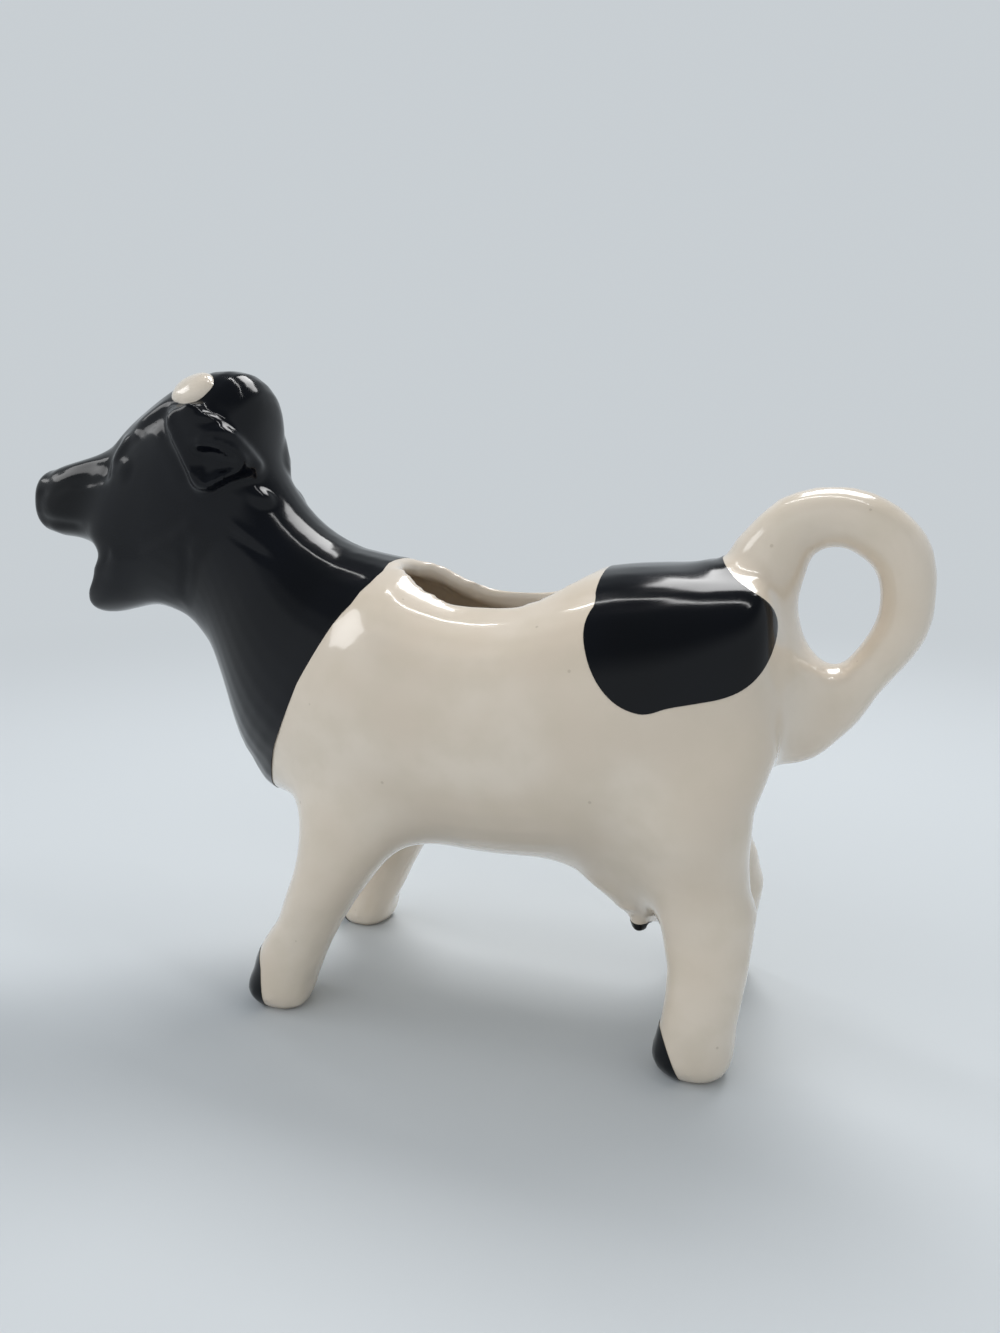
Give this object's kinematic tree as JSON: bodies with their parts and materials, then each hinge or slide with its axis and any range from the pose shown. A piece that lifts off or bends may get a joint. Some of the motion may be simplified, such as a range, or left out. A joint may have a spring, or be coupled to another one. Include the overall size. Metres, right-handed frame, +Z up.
{
  "type": "cow creamer",
  "caption": "Ceramic milk jug in the form of a standing cow: filled through an opening in the back, poured from the open mouth, and lifted by the tail that curls into a ring handle.",
  "frame": {"origin": "on the table, under the middle of the jug's bounding box", "axes": "+X towards the tail, the head points along -X, +Z up, and the jug is symmetric left and right across the plane Y = 0"},
  "size_m": [0.1862, 0.0576, 0.1268],
  "materials": {
    "cream_glaze": "glossy cream glaze over slip-cast earthenware",
    "black_glaze": "glossy black glaze over slip-cast earthenware"
  },
  "bodies": {
    "root": {"body_shell": "cream_glaze", "neck_shell": "black_glaze", "head_shell": "black_glaze", "tail_handle": "cream_glaze", "rump_patch": "black_glaze", "horn_left": "cream_glaze", "horn_right": "cream_glaze", "ear_left": "black_glaze", "ear_right": "black_glaze", "front_leg_left": "cream_glaze", "front_leg_right": "cream_glaze", "hind_leg_left": "cream_glaze", "hind_leg_right": "cream_glaze", "front_toe_left": "black_glaze", "front_toe_right": "black_glaze", "hind_toe_left": "black_glaze", "hind_toe_right": "black_glaze", "udder": "cream_glaze", "teat_front_left": "black_glaze", "teat_front_right": "black_glaze", "teat_rear_left": "black_glaze", "teat_rear_right": "black_glaze"}
  },
  "joints": []
}
